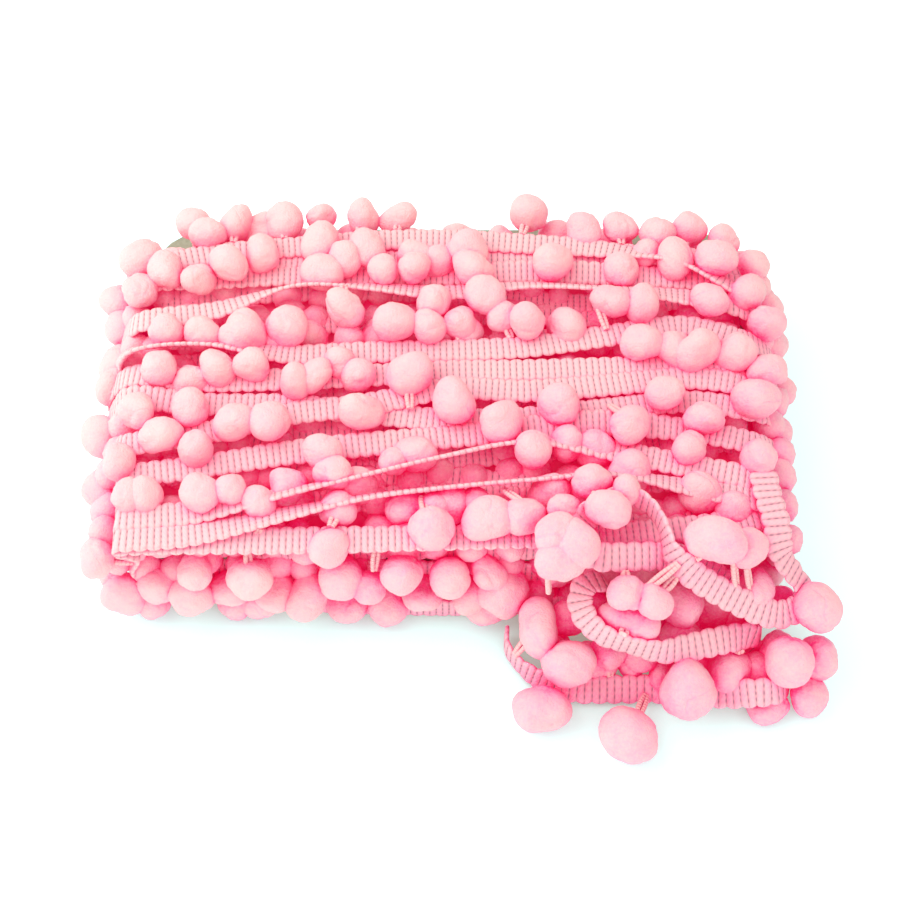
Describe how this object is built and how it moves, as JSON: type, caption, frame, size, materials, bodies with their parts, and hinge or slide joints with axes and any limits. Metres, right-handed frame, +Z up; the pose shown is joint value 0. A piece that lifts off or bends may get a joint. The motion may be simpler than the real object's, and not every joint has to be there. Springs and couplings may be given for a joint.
{
  "type": "pompom fringe trim",
  "caption": "Long pink ribbed band edged with small felted bobbles, wound flat round a card, with its loose end looped in a heap at one corner.",
  "frame": {"origin": "centre of the wound bundle on the surface that it lies on", "axes": "+X along the bundle, the way the trim is wound; +Y to its far side, away from the loose end; +Z up"},
  "size_m": [0.1721, 0.1366, 0.0442],
  "materials": {
    "pink_fringe": "matt felted bobbles and ribbed woven band, soft pink",
    "grey_card": "uncoated grey paperboard"
  },
  "bodies": {
    "root": {"card": "grey_card", "wound_trim": "pink_fringe", "loose_trim": "pink_fringe"}
  },
  "joints": []
}
